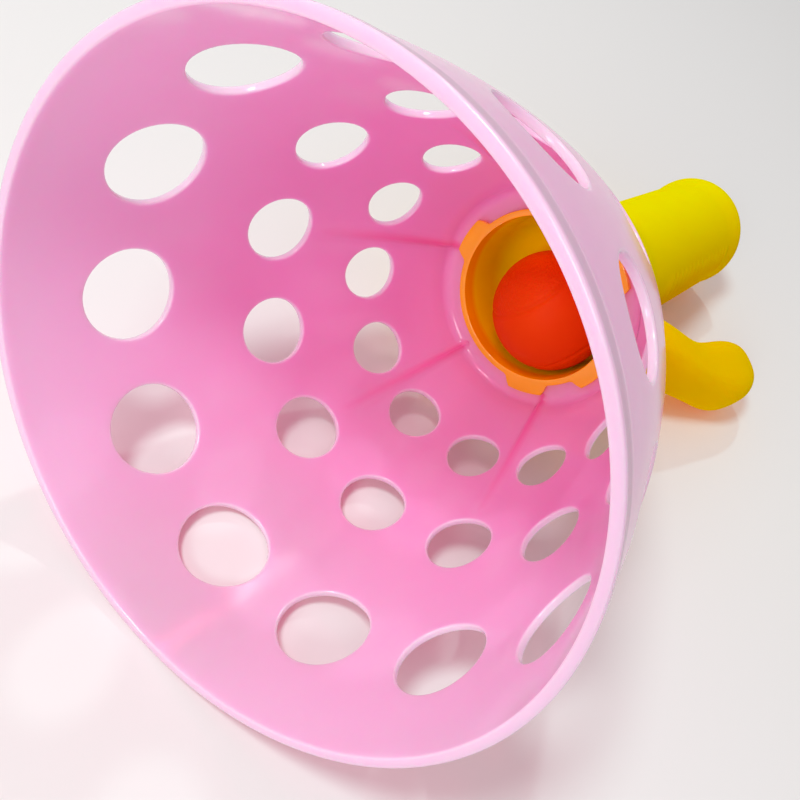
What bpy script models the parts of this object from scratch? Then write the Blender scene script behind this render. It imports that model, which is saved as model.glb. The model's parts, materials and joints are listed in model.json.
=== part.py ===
"""Throw and catch ball toy: a perforated basket on a pistol handle whose trigger kicks the ball out of a cup.

The toy is modelled upright about its own axis, Z, with the basket's seat on the handle at height 0,
the mouth up and the trigger towards +X. At the end it is laid on its side, where it rests on three
points: the rim of the basket, the end of the handle and the pad of the trigger.
All sizes are in metres.
"""

import math

import bmesh
import bpy
from mathutils import Matrix, Vector

# Driving dimensions of the basket
mouth_radius = 0.0840
middle_radius = 0.0672
floor_corner_radius = 0.0360
basket_depth = 0.1400
basket_wall = 0.0022
basket_floor = 0.0024
basket_corner = 0.0060
lip_height = 0.0036
lip_width = 0.0007
hole_rows = (
    # height of the centre as a share of the depth, radius as a share of the bell's, angle of the first hole
    (0.7521, 0.1691, 15.0),
    (0.4429, 0.1585, 0.0),
    (0.2114, 0.1708, 15.0),
)
holes_per_row = 12
crease_count = 6
crease_share = 0.357
crease_height = 0.0011
crease_width = 0.0020
crease_sink = 0.0006
crease_proud = 0.0002

# Driving dimensions of the launch cup and the ball
ball_radius = 0.0200
ball_side_angle = -30.0
cup_radius = 0.0268
cup_wall = 0.0015
cup_depth = 0.0270
cup_corner = 0.0132
cup_flange_radius = 0.0296
cup_flange_thickness = 0.0020
cup_draft = 0.0006
lug_radius = 0.0324
lug_angles = (-161.0, -41.0, 9.0, 79.0)
lug_spread = 27.0
lug_root = 0.0007
guide_radius = 0.0058
guide_length = 0.0085
bead_radius = 0.0074
bead_height = 0.0022

# Driving dimensions of the plunger, its spring and its fastenings
rod_radius = 0.0030
rod_length = 0.0640
head_radius = 0.0115
head_thickness = 0.0020
head_dish = 0.0008
head_stem_radius = 0.0020
head_stem_length = 0.0060
collar_radius = 0.0090
collar_thickness = 0.0018
collar_chamfer = 0.0006
collar_cone_width = 0.0012
collar_cone_height = 0.0010
spring_wire_radius = 0.0005
spring_radius = 0.0052
spring_turns = 8
washer_radius = 0.0070
washer_thickness = 0.0012
retainer_shank_radius = 0.0013
retainer_shank_length = 0.0070

# Driving dimensions of the handle
handle_wall = 0.0022
handle_length = 0.1660
head_collar_radius = 0.0340
head_collar_height = 0.0040
shoulder_height = 0.0140
neck_height = 0.0540
grip_radius = 0.0222
bulb_radius = 0.0236
bulb_length = 0.0140
dome_height = 0.0130
web_thickness = 0.0018
cup_web_drop = 0.0030
spring_web_height = 0.0600
grip_rib_count = 15
grip_rib_overrun = 0.0010
grip_rib_height = 0.0005
grip_rib_start = 0.0690
grip_rib_spread = 50.0
boss_radius = 0.0038
screw_places = (
    # place of each handle screw towards the trigger, and its depth as a share of the handle's length
    (-0.0140, 0.263),
    (-0.0130, 0.447),
    (0.0125, 0.520),
    (-0.0120, 0.638),
    (0.0125, 0.711),
    (0.0000, 0.842),
)
screw_head_radius = 0.0029
screw_head_height = 0.0021
screw_head_depth = 0.0080
screw_shank_radius = 0.0013
screw_shank_length = 0.0170

# Driving dimensions of the trigger
pivot_reach = 0.0150
pivot_depth = 0.0520
pivot_pin_radius = 0.0020
pivot_pin_length = 0.0256
squeeze_angle = 20.0
ear_wall = 0.0024
ear_setback = 0.0024
hub_radius = 0.0064
nose_reach = 0.0055
nose_radius = 0.0020
fork_gap = 0.0072
fork_width = 0.0132
fork_throat = 0.0030
slot_setback = 0.0030
slot_top = 0.0300
slot_bottom = 0.0660
trigger_sections = (
    # outer edge (reach, depth), inner edge (reach, depth), half width
    ((0.0290, 0.0335), (0.0190, 0.0560), 0.0078),
    ((0.0368, 0.0450), (0.0275, 0.0620), 0.0112),
    ((0.0460, 0.0545), (0.0333, 0.0677), 0.0114),
    ((0.0550, 0.0646), (0.0381, 0.0737), 0.0112),
    ((0.0618, 0.0761), (0.0413, 0.0815), 0.0112),
    ((0.0699, 0.0865), (0.0439, 0.0926), 0.0121),
    ((0.0741, 0.0983), (0.0463, 0.1047), 0.0126),
    ((0.0731, 0.1080), (0.0494, 0.1126), 0.0117),
    ((0.0712, 0.1130), (0.0517, 0.1161), 0.0107),
    ((0.0688, 0.1163), (0.0545, 0.1186), 0.0088),
    ((0.0660, 0.1182), (0.0578, 0.1195), 0.0056),
)

# Clearances
part_gap = 0.0003
running_gap = 0.0006
parting_gap = 0.0003

# How far cutters run past what they cut
handle_reach = 0.0500
cutter_overrun = 0.0100

# Fineness of the round shapes
basket_steps = 48
cup_steps = 36
handle_steps = 32
small_steps = 16
hole_sides = 16
MERGE = 0.00001

TOY = "throw_and_catch_toy"
CUTTERS = "cutters"

# Heights that follow from the sizes above
cup_floor_z = -cup_depth
head_seat_z = cup_floor_z - head_thickness
cup_underside_z = head_seat_z - cup_wall
guide_end_z = cup_underside_z - guide_length
cup_outer_radius = cup_radius + cup_wall
rod_top_z = head_seat_z
rod_end_z = rod_top_z - rod_length
plunger_travel = (pivot_reach + nose_reach) * math.radians(squeeze_angle)
collar_top_z = guide_end_z - plunger_travel - collar_cone_height - running_gap
collar_under_z = collar_top_z - collar_thickness
nose_top_z = collar_under_z - part_gap
pivot_z = -pivot_depth
cup_web_z = cup_underside_z - cup_web_drop
spring_seat_z = -spring_web_height - web_thickness - part_gap
bulb_height = handle_length - dome_height
bulb_start = bulb_height - bulb_length
grip_rib_pitch = (bulb_start + grip_rib_overrun - grip_rib_start) / (grip_rib_count - 1)
washer_top_z = rod_end_z - part_gap


def clear_scene():
    for old in list(bpy.data.objects):
        bpy.data.objects.remove(old, do_unlink=True)
    for name in (TOY, CUTTERS):
        if name in bpy.data.collections:
            bpy.data.collections.remove(bpy.data.collections[name])
        bpy.context.scene.collection.children.link(bpy.data.collections.new(name))


def plastic(name, colour, roughness=0.35, metallic=0.0):
    material = bpy.data.materials.new(name)
    material.use_nodes = True
    shader = material.node_tree.nodes["Principled BSDF"]
    shader.inputs["Base Color"].default_value = (*colour, 1.0)
    shader.inputs["Roughness"].default_value = roughness
    shader.inputs["Metallic"].default_value = metallic
    material.diffuse_color = (*colour, 1.0)
    return material


def new_object(name, mesh, material=None):
    made = bpy.data.objects.new(name, mesh)
    if material is None:
        bpy.data.collections[CUTTERS].objects.link(made)
        made.hide_render = True
        made.display_type = "WIRE"
    else:
        bpy.data.collections[TOY].objects.link(made)
        mesh.materials.append(material)
    return made


def mesh_from_bmesh(name, bm):
    bmesh.ops.recalc_face_normals(bm, faces=bm.faces)
    mesh = bpy.data.meshes.new(name)
    bm.to_mesh(mesh)
    bm.free()
    return mesh


def turned(name, profile, steps, material=None, closed=True):
    """Turns a profile of (radius, height) points about Z; it runs down the outer side."""
    mesh = bpy.data.meshes.new(name)
    points = [(radius, 0.0, height) for radius, height in profile]
    edges = [(i, i + 1) for i in range(len(points) - 1)]
    if closed:
        edges.append((len(points) - 1, 0))
    mesh.from_pydata(points, edges, [])
    made = new_object(name, mesh, material)
    screw = made.modifiers.new("turn", "SCREW")
    screw.steps = steps
    screw.render_steps = steps
    screw.use_merge_vertices = True
    screw.merge_threshold = MERGE
    screw.use_smooth_shade = True
    return made


def cylinder(name, radius, length, place, direction, sides=small_steps, material=None, end_radius=None):
    """A cylinder whose middle is at place and whose length runs along direction."""
    bm = bmesh.new()
    far_radius = radius if end_radius is None else end_radius
    bmesh.ops.create_cone(
        bm, cap_ends=True, segments=sides, radius1=radius, radius2=far_radius, depth=length
    )
    turn = Vector(direction).to_track_quat("Z", "X").to_matrix().to_4x4()
    turn = turn @ Matrix.Rotation(math.pi / sides, 4, "Z")
    bmesh.ops.transform(bm, matrix=Matrix.Translation(place) @ turn, verts=bm.verts)
    return new_object(name, mesh_from_bmesh(name, bm), material)


def box(name, low, high, material=None):
    bm = bmesh.new()
    bmesh.ops.create_cube(bm, size=1.0)
    size = [b - a for a, b in zip(low, high)]
    middle = [(a + b) / 2 for a, b in zip(low, high)]
    shape = Matrix.Translation(middle) @ Matrix.Diagonal((*size, 1.0))
    bmesh.ops.transform(bm, matrix=shape, verts=bm.verts)
    return new_object(name, mesh_from_bmesh(name, bm), material)


def combine(target, tool, operation):
    step = target.modifiers.new(operation.lower() + "_" + tool.name, "BOOLEAN")
    step.operation = operation
    step.solver = "EXACT"
    step.object = tool
    return step


def settled_mesh(source, name):
    """The mesh of an object after its modifiers, with any loose caps welded."""
    bpy.context.view_layer.update()
    evaluated = source.evaluated_get(bpy.context.evaluated_depsgraph_get())
    mesh = bpy.data.meshes.new_from_object(evaluated)
    mesh.name = name
    bm = bmesh.new()
    bm.from_mesh(mesh)
    bmesh.ops.remove_doubles(bm, verts=bm.verts, dist=MERGE)
    bm.to_mesh(mesh)
    bm.free()
    return mesh


def settle(source, material=None):
    """Replaces an object by the plain mesh that its modifiers make."""
    name = source.name
    mesh = settled_mesh(source, name)
    mesh.materials.clear()
    bpy.data.objects.remove(source, do_unlink=True)
    return new_object(name, mesh, material)


def merge_meshes(name, pieces):
    """Joins separate closed cutters that don't meet into one cutter."""
    bm = bmesh.new()
    for piece in pieces:
        bm.from_mesh(piece.data)
        bpy.data.objects.remove(piece, do_unlink=True)
    return new_object(name, mesh_from_bmesh(name, bm))


def smooth(made, angle=38.0):
    made.data.shade_smooth()
    made.data.set_sharp_from_angle(angle=math.radians(angle))


def around(angle, radius, height):
    return Vector((radius * math.cos(angle), radius * math.sin(angle), height))


def basket_outer_radius(height):
    """Outer radius of the bell: a parabola through the mouth, the middle and the floor's corner."""
    t = height / basket_depth
    at_floor = floor_corner_radius * (1 - t) * (1 - 2 * t)
    at_middle = middle_radius * 4 * t * (1 - t)
    at_mouth = mouth_radius * t * (2 * t - 1)
    return at_floor + at_middle + at_mouth


def basket_lean(height):
    """Angle between the wall and the axis at a height."""
    small = 0.0005
    rise = basket_outer_radius(height + small) - basket_outer_radius(height - small)
    return math.atan2(rise, 2 * small)


def basket_profile():
    rounds = 3
    corner = basket_corner
    levels = 8
    outer = [(mouth_radius, basket_depth), (mouth_radius, basket_depth - lip_height)]
    outer.append((basket_outer_radius(basket_depth - lip_height) - lip_width, basket_depth - lip_height))
    for i in range(1, levels):
        height = (basket_depth - lip_height) * (1 - i / levels)
        if height > corner:
            outer.append((basket_outer_radius(height) - lip_width, height))
    for i in range(rounds + 1):
        turn = math.radians(90) * i / rounds
        radius = basket_outer_radius(corner) - lip_width - corner * (1 - math.cos(turn))
        outer.append((radius, corner * (1 - math.sin(turn))))
    hole = cup_outer_radius + part_gap
    floor = [(hole, 0.0), (hole, basket_floor)]
    inner = []
    for i in range(rounds + 1):
        turn = math.radians(90) * (1 - i / rounds)
        fillet = corner - basket_floor
        radius = basket_outer_radius(corner) - lip_width - basket_wall - fillet * (1 - math.cos(turn))
        inner.append((radius, basket_floor + fillet * (1 - math.sin(turn))))
    for i in range(levels - 1, 0, -1):
        height = (basket_depth - lip_height) * (1 - i / levels)
        if height > corner:
            inner.append((basket_outer_radius(height) - lip_width - basket_wall, height))
    inner.append((mouth_radius - lip_width - basket_wall, basket_depth))
    return outer + floor + inner


def crease_solid(name, angle):
    """A low fin on the inner wall, fading out upwards, standing in one meridian plane."""
    stations = 6
    outline = []
    base = []
    for i in range(stations + 1):
        t = i / stations
        height = basket_floor - crease_sink + (crease_share * basket_depth - basket_floor) * t
        wall = basket_outer_radius(max(height, basket_corner)) - lip_width - basket_wall
        outline.append((wall - crease_height * (1 - t) - crease_proud, height))
        base.append((wall + basket_wall / 2, height))
    points = outline + base[::-1]
    bm = bmesh.new()
    verts = [bm.verts.new((radius, -crease_width / 2, height)) for radius, height in points]
    face = bm.faces.new(verts)
    grown = bmesh.ops.extrude_face_region(bm, geom=[face])
    moved = [item for item in grown["geom"] if isinstance(item, bmesh.types.BMVert)]
    bmesh.ops.translate(bm, vec=(0.0, crease_width, 0.0), verts=moved)
    bmesh.ops.rotate(bm, cent=(0, 0, 0), matrix=Matrix.Rotation(angle, 3, "Z"), verts=bm.verts)
    return new_object(name, mesh_from_bmesh(name, bm))


def make_basket(material):
    basket = turned("basket", basket_profile(), basket_steps, material)
    creases = []
    for i in range(crease_count):
        angle = math.radians(30.0 + 360.0 * i / crease_count)
        creases.append(crease_solid("crease_%d" % i, angle))
    combine(basket, merge_meshes("creases", creases), "UNION")
    for row, (height_share, radius_share, first) in enumerate(hole_rows):
        drills = []
        height = height_share * basket_depth
        radius = radius_share * basket_outer_radius(height)
        lean = basket_lean(height)
        for i in range(holes_per_row):
            angle = math.radians(first + 360.0 * i / holes_per_row)
            place = around(angle, basket_outer_radius(height) - lip_width - basket_wall / 2, height)
            direction = around(angle, math.cos(lean), -math.sin(lean))
            drills.append(cylinder("drill", radius, radius + 2 * basket_wall, place, direction, hole_sides))
        combine(basket, merge_meshes("holes_row_%d" % row, drills), "DIFFERENCE")
    smooth(basket)
    return basket


def cup_profile():
    rounds = 4
    top = basket_floor + part_gap + cup_flange_thickness
    inner = []
    bottom_radius = cup_radius - cup_draft
    recess = head_radius + part_gap
    for i in range(rounds + 1):
        turn = math.radians(90) * i / rounds
        radius = bottom_radius - cup_corner * (1 - math.sin(turn))
        inner.append((radius, cup_floor_z + cup_corner * (1 - math.cos(turn))))
    inner = [(recess, head_seat_z), (recess, cup_floor_z)] + inner
    bore = rod_radius + part_gap
    inner = [(bore, guide_end_z), (bore, head_seat_z)] + inner
    inner.append((cup_radius, top))
    outer = [(cup_flange_radius, top), (cup_flange_radius, basket_floor + part_gap)]
    outer.append((cup_outer_radius, basket_floor + part_gap))
    for i in range(rounds + 1):
        turn = math.radians(90) * (1 - i / rounds)
        corner = cup_corner + cup_wall
        radius = bottom_radius + cup_wall - corner * (1 - math.sin(turn))
        height = cup_floor_z - cup_wall + corner * (1 - math.cos(turn))
        outer.append((max(radius, recess + cup_wall), height))
    outer.append((recess + cup_wall, cup_underside_z))
    outer.append((guide_radius, cup_underside_z))
    outer.append((guide_radius, guide_end_z + bead_height + part_gap))
    outer.append((bead_radius, guide_end_z + bead_height))
    outer.append((bead_radius, guide_end_z + bead_height / 2))
    outer.append((guide_radius, guide_end_z))
    return inner + outer


def flange_outline():
    """Radius of the lobed flange at each degree step, as points of a flat outline."""
    step = 3.0
    points = []
    for i in range(int(360 / step)):
        angle = i * step
        radius = cup_flange_radius - lug_root
        for middle in lug_angles:
            away = abs((angle - middle + 180.0) % 360.0 - 180.0)
            if away <= lug_spread / 2:
                radius = lug_radius
        points.append(around(math.radians(angle), radius, 0.0))
    return points


def flat_plate(name, outlines, thickness, middle, material=None):
    """A flat plate from closed outlines in the XY plane, filled and extruded both ways."""
    curve = bpy.data.curves.new(name, "CURVE")
    curve.dimensions = "2D"
    curve.fill_mode = "BOTH"
    curve.extrude = thickness / 2
    for outline in outlines:
        spline = curve.splines.new("POLY")
        spline.points.add(len(outline) - 1)
        spline.use_cyclic_u = True
        for point, place in zip(spline.points, outline):
            point.co = (place[0], place[1], 0.0, 1.0)
    source = bpy.data.objects.new(name + "_curve", curve)
    bpy.context.scene.collection.objects.link(source)
    mesh = settled_mesh(source, name)
    bpy.data.objects.remove(source, do_unlink=True)
    bm = bmesh.new()
    bm.from_mesh(mesh)
    bmesh.ops.transform(bm, matrix=middle, verts=bm.verts)
    bm.to_mesh(mesh)
    bm.free()
    return new_object(name, mesh, material)


def make_cup(material):
    cup = turned("launch_cup", cup_profile(), cup_steps, material)
    turns = [2 * math.pi * i / cup_steps for i in range(cup_steps)]
    hole = [around(turn, cup_radius + cup_wall / 2, 0.0) for turn in turns]
    height = basket_floor + part_gap + cup_flange_thickness / 2
    lugs = flat_plate(
        "cup_lugs", [flange_outline(), hole], cup_flange_thickness * 0.96, Matrix.Translation((0, 0, height))
    )
    combine(cup, lugs, "UNION")
    smooth(cup)
    return cup


def make_ball(material):
    """The ball, which lies in the cup against the side that is nearest to the trigger."""
    bm = bmesh.new()
    bmesh.ops.create_uvsphere(bm, u_segments=24, v_segments=14, radius=ball_radius)
    ball = new_object("ball", mesh_from_bmesh("ball", bm), material)
    aside = cup_radius - cup_draft - ball_radius - part_gap
    ball.location = around(math.radians(ball_side_angle), aside, cup_floor_z + ball_radius + part_gap)
    ball.data.shade_smooth()
    return ball


def make_plunger(rod_material, head_material, steel):
    collar_edge = collar_radius - collar_chamfer
    rod = turned("plunger_rod", [
        (head_stem_radius + part_gap, rod_top_z - head_stem_length - part_gap),
        (head_stem_radius + part_gap, rod_top_z - part_gap),
        (rod_radius, rod_top_z - part_gap),
        (rod_radius, collar_top_z + collar_cone_height),
        (rod_radius + collar_cone_width, collar_top_z),
        (collar_edge, collar_top_z),
        (collar_radius, collar_top_z - collar_chamfer),
        (collar_radius, collar_under_z),
        (rod_radius, collar_under_z),
        (rod_radius, rod_end_z),
        (retainer_shank_radius + part_gap, rod_end_z),
        (retainer_shank_radius + part_gap, rod_end_z + retainer_shank_length + part_gap),
        (0.0, rod_end_z + retainer_shank_length + part_gap),
        (0.0, rod_top_z - head_stem_length - part_gap),
    ], small_steps, rod_material, closed=True)
    head = turned("plunger_head", [
        (0.0, cup_floor_z - head_dish),
        (head_radius * 0.55, cup_floor_z - head_dish * 0.65),
        (head_radius - 0.0008, cup_floor_z),
        (head_radius, cup_floor_z - 0.0004),
        (head_radius, head_seat_z + part_gap),
        (head_stem_radius, head_seat_z + part_gap),
        (head_stem_radius, rod_top_z - head_stem_length),
        (0.0, rod_top_z - head_stem_length),
    ], 24, head_material, closed=False)
    washer = turned("spring_washer", [
        (retainer_shank_radius + part_gap, washer_top_z),
        (washer_radius, washer_top_z),
        (washer_radius, washer_top_z - washer_thickness),
        (retainer_shank_radius + part_gap, washer_top_z - washer_thickness),
    ], small_steps, steel)
    screw = screw_mesh_object("plunger_screw", retainer_shank_length + washer_thickness, steel)
    screw.location = (0.0, 0.0, washer_top_z - washer_thickness - part_gap)
    screw.rotation_euler = (math.radians(180), 0.0, 0.0)
    for made in (rod, head, washer):
        smooth(made)
    return [rod, head, washer, screw]


def screw_mesh_object(name, shank_length, material):
    """A pan head screw: its head stands above its origin and its shank runs down from it."""
    slot = screw_head_radius * 0.28
    made = turned(name, [
        (0.0, screw_head_height * 0.55),
        (slot * 1.6, screw_head_height * 0.55),
        (slot * 1.9, screw_head_height),
        (screw_head_radius * 0.8, screw_head_height * 0.88),
        (screw_head_radius, screw_head_height * 0.4),
        (screw_head_radius, 0.0),
        (screw_shank_radius, 0.0),
        (screw_shank_radius, -shank_length + screw_shank_radius),
        (0.0, -shank_length),
    ], 12, material, closed=False)
    smooth(made)
    return made


def make_spring(material):
    """A compression coil round the rod, from the web down to the washer, as one unbroken wire."""
    curls = 9
    top = spring_seat_z - spring_wire_radius
    bottom = washer_top_z + part_gap + spring_wire_radius
    total = spring_turns * curls
    points = []
    for i in range(total + 1):
        turn = 2 * math.pi * i / curls
        share = i / total
        points.append(around(turn, spring_radius, top + (bottom - top) * share))
    least = (top - bottom) / spring_turns - 2 * spring_wire_radius
    print("least gap between the spring's turns, mm:", round(least * 1000, 2))
    first_run = Vector((points[1].x - points[0].x, points[1].y - points[0].y, 0.0)).normalized()
    last_run = Vector((points[-1].x - points[-2].x, points[-1].y - points[-2].y, 0.0)).normalized()
    points.insert(0, points[0] - first_run * 2 * spring_wire_radius)
    points.append(points[-1] + last_run * 2 * spring_wire_radius)
    curve = bpy.data.curves.new("plunger_spring", "CURVE")
    curve.dimensions = "3D"
    curve.bevel_depth = spring_wire_radius
    curve.bevel_resolution = 1
    curve.use_fill_caps = True
    spline = curve.splines.new("POLY")
    spline.points.add(len(points) - 1)
    for point, place in zip(spline.points, points):
        point.co = (*place, 1.0)
    source = bpy.data.objects.new("spring_curve", curve)
    bpy.context.scene.collection.objects.link(source)
    mesh = settled_mesh(source, "plunger_spring")
    bpy.data.objects.remove(source, do_unlink=True)
    made = new_object("plunger_spring", mesh, material)
    smooth(made, 60)
    return made


def blend(t):
    t = min(max(t, 0.0), 1.0)
    return 0.5 - 0.5 * math.cos(math.pi * t)


def handle_outer_radius(depth):
    """Outer radius of the handle at a depth below the basket's seat, without its collar."""
    shoulder = cup_outer_radius + part_gap + handle_wall
    radius = shoulder + (grip_radius - shoulder) * blend(
        (depth - shoulder_height) / (neck_height - shoulder_height)
    )
    swell = blend((depth - bulb_start) / (bulb_height - bulb_start))
    return radius + (bulb_radius - grip_radius) * swell


def handle_depths():
    depths = [head_collar_height, shoulder_height]
    neck_steps = 5
    for i in range(1, neck_steps + 1):
        depths.append(shoulder_height + (neck_height - shoulder_height) * i / neck_steps)
    depths += [bulb_start]
    depths += [bulb_start + (bulb_height - bulb_start) * i / 3 for i in (1, 2, 3)]
    return depths


def handle_profile(inset):
    """Points from the top of the neck down to the middle of the domed end, inset by a wall."""
    points = [(handle_outer_radius(d) - inset, -d) for d in handle_depths()]
    rounds = 6
    dome = dome_height - inset
    for i in range(1, rounds + 1):
        turn = math.radians(90) * i / rounds
        points.append(((bulb_radius - inset) * math.cos(turn), -bulb_height - dome * math.sin(turn)))
    points[-1] = (0.0, points[-1][1])
    return points


def handle_shell():
    outer = [(head_collar_radius, -part_gap)]
    outer.append((head_collar_radius, -head_collar_height))
    outer += handle_profile(0.0)
    inner = handle_profile(handle_wall)[::-1]
    inner.append((cup_outer_radius + part_gap, -part_gap))
    return turned("handle_shell", inner + outer, handle_steps, closed=False)


def handle_inside():
    """Solid as large as the handle less half its wall, which trims the webs and bosses."""
    top = [(0.0, -head_collar_height)]
    return turned("handle_inside", top + handle_profile(handle_wall / 2), handle_steps, closed=False)


def half_of_handle(name, side, material):
    """One half of the handle: side is 1 for the left half, on +Y, and -1 for the right half."""
    half = settle(handle_shell(), material)
    half.name = name
    half.data.name = name
    gap = parting_gap / 2
    reach = handle_reach
    fittings = []
    low_web = (-reach, -reach, cup_web_z - web_thickness)
    high_web = (reach, reach, cup_web_z)
    fittings.append(box(name + "_cup_web", low_web, high_web))
    low_web = (-reach, -reach, -spring_web_height - web_thickness)
    high_web = (reach, reach, -spring_web_height)
    fittings.append(box(name + "_spring_web", low_web, high_web))
    for i, (x, share) in enumerate(screw_places):
        depth = share * handle_length
        middle = (x, side * reach / 2, -depth)
        fittings.append(cylinder("%s_boss_%d" % (name, i), boss_radius, reach, middle, (0, 1, 0), 16))
    ear_from = fork_width / 2 + ear_setback
    ear_length = reach - ear_from
    middle = (pivot_reach, side * (ear_from + ear_length / 2), pivot_z)
    fittings.append(cylinder(name + "_ear", pivot_pin_radius + ear_wall, ear_length, middle, (0, 1, 0), 16))
    inside = handle_inside()
    inside.name = name + "_inside"
    for fitting in fittings:
        combine(fitting, inside, "INTERSECT")
        combine(half, settle(fitting), "UNION")
    for i in range(grip_rib_count):
        depth = grip_rib_start + i * grip_rib_pitch
        combine(half, grip_rib("%s_rib_%d" % (name, i), depth, side), "UNION")
    cut_handle_half(half, name, side, gap, reach)
    smooth(half)
    return half


def grip_rib(name, depth, side):
    """A fine raised line round the front of the grip, from the parting line to one side."""
    radius = handle_outer_radius(depth)
    low = radius - handle_wall / 2
    width = grip_rib_pitch * 0.22
    section = [(low, -width), (low, width), (radius + grip_rib_height, width * 0.45)]
    section.append((radius + grip_rib_height, -width * 0.45))
    bm = bmesh.new()
    verts = [bm.verts.new((r, 0.0, -depth + z)) for r, z in section]
    edges = [bm.edges.new((verts[i], verts[(i + 1) % 4])) for i in range(4)]
    bmesh.ops.spin(
        bm, geom=verts + edges, cent=(0, 0, 0), axis=(0, 0, 1),
        angle=side * math.radians(grip_rib_spread), steps=4, use_merge=False, use_duplicate=False,
    )
    open_edges = [edge for edge in bm.edges if len(edge.link_faces) == 1]
    bmesh.ops.holes_fill(bm, edges=open_edges, sides=0)
    return new_object(name, mesh_from_bmesh(name, bm))


def cut_handle_half(half, name, side, gap, reach):
    """Cuts the slot, the bores and the screw holes, and takes the other half away."""
    slot_width = trigger_sections[0][2] + running_gap
    slot = box(
        name + "_slot",
        (pivot_reach + slot_setback, -slot_width, -slot_bottom),
        (reach, slot_width, -slot_top),
    )
    combine(half, slot, "DIFFERENCE")
    guide = cylinder(
        name + "_guide_hole", guide_radius + part_gap, 4 * web_thickness,
        (0, 0, cup_web_z - web_thickness / 2), (0, 0, 1),
    )
    combine(half, guide, "DIFFERENCE")
    rod_hole = cylinder(
        name + "_rod_hole", rod_radius + part_gap, 4 * web_thickness,
        (0, 0, -spring_web_height - web_thickness / 2), (0, 0, 1),
    )
    combine(half, rod_hole, "DIFFERENCE")
    pin_hole = cylinder(
        name + "_pin_hole", pivot_pin_radius + part_gap, pivot_pin_length + 2 * part_gap,
        (pivot_reach, 0, pivot_z), (0, 1, 0), 16,
    )
    combine(half, pin_hole, "DIFFERENCE")
    for i, (x, share) in enumerate(screw_places):
        depth = share * handle_length
        shank = cylinder(
            "%s_screw_hole_%d" % (name, i), screw_shank_radius + part_gap, 2 * screw_shank_length,
            (x, screw_shank_length - screw_head_depth - screw_shank_length, -depth), (0, 1, 0), 14,
        )
        combine(half, shank, "DIFFERENCE")
        if side < 0:
            depth_out = reach - screw_head_depth
            recess = cylinder(
                "%s_recess_%d" % (name, i), screw_head_radius + part_gap, depth_out,
                (x, -screw_head_depth - depth_out / 2, -depth), (0, 1, 0), 14,
            )
            combine(half, recess, "DIFFERENCE")
    low = (-reach, -reach if side > 0 else -gap, -handle_length - cutter_overrun)
    high = (reach, gap if side > 0 else reach, cutter_overrun)
    combine(half, box(name + "_other_side", low, high), "DIFFERENCE")


def make_handle(material, steel):
    made = [half_of_handle("handle_left", 1, material), half_of_handle("handle_right", -1, material)]
    for i, (x, share) in enumerate(screw_places):
        depth = share * handle_length
        screw = screw_mesh_object("handle_screw_%d" % (i + 1), screw_shank_length, steel)
        screw.location = (x, -screw_head_depth - part_gap, -depth)
        screw.rotation_euler = (math.radians(90), 0.0, 0.0)
        made.append(screw)
    pin = cylinder(
        "trigger_pin", pivot_pin_radius, pivot_pin_length, (pivot_reach, 0, pivot_z), (0, 1, 0), 20, steel
    )
    smooth(pin)
    made.append(pin)
    return made


def trigger_loft():
    """The lever and its pad: rounded sections lofted between its outer and inner edges."""
    sides = 20
    power = 2.0 / 3.0
    bm = bmesh.new()
    rings = []
    for outer, inner, half_width in trigger_sections:
        outer_edge = Vector((outer[0], 0.0, -outer[1]))
        inner_edge = Vector((inner[0], 0.0, -inner[1]))
        middle = (outer_edge + inner_edge) / 2
        across = (outer_edge - inner_edge) / 2
        ring = []
        for i in range(sides):
            turn = 2 * math.pi * i / sides
            c = math.copysign(abs(math.cos(turn)) ** power, math.cos(turn))
            s = math.copysign(abs(math.sin(turn)) ** power, math.sin(turn))
            ring.append(bm.verts.new(middle + across * c + Vector((0.0, half_width * s, 0.0))))
        rings.append(ring)
    for ring, following in zip(rings, rings[1:]):
        for i in range(sides):
            j = (i + 1) % sides
            bm.faces.new((ring[i], ring[j], following[j], following[i]))
    bm.faces.new(rings[0])
    bm.faces.new(rings[-1])
    return mesh_from_bmesh("trigger", bm)


def make_trigger(material):
    """The lever on its pivot, with a fork that reaches under the plunger's collar."""
    trigger = new_object("trigger", trigger_loft(), material)
    hub = cylinder("trigger_hub", hub_radius, fork_width, (pivot_reach, 0, pivot_z), (0, 1, 0), 24)
    nose_z = nose_top_z - nose_radius
    nose = cylinder("trigger_nose", nose_radius, fork_width, (-nose_reach, 0, nose_z), (0, 1, 0), 16)
    arm = box(
        "trigger_arm",
        (-nose_reach, -fork_width / 2 + 0.0002, nose_z - nose_radius * 0.94),
        (pivot_reach, fork_width / 2 - 0.0002, nose_z + nose_radius * 0.80),
    )
    combine(trigger, hub, "UNION")
    combine(trigger, arm, "UNION")
    combine(trigger, nose, "UNION")
    gap_end = rod_radius + fork_throat
    fork = box(
        "trigger_fork_gap",
        (-nose_reach - cutter_overrun, -fork_gap / 2, nose_z - cutter_overrun),
        (gap_end, fork_gap / 2, nose_z + cutter_overrun),
    )
    combine(trigger, fork, "DIFFERENCE")
    bore = cylinder(
        "trigger_bore", pivot_pin_radius + part_gap, 2 * fork_width, (pivot_reach, 0, pivot_z), (0, 1, 0), 20
    )
    combine(trigger, bore, "DIFFERENCE")
    smooth(trigger)
    return trigger


def reach_of(made, direction):
    """How far an object's surface reaches along a direction, in the toy's own frame."""
    evaluated = made.evaluated_get(bpy.context.evaluated_depsgraph_get())
    return max((made.matrix_world @ vertex.co).dot(direction) for vertex in evaluated.data.vertices)


def downwards(pitch, roll):
    """The direction of the floor seen from the upright toy, for the pose in which it lies."""
    flat = math.cos(pitch)
    return Vector((flat * math.cos(roll), -flat * math.sin(roll), -math.sin(pitch)))


def bisect(difference, low, high):
    for _ in range(40):
        middle = (low + high) / 2
        if difference(middle) > 0:
            high = middle
        else:
            low = middle
    return (low + high) / 2


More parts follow.
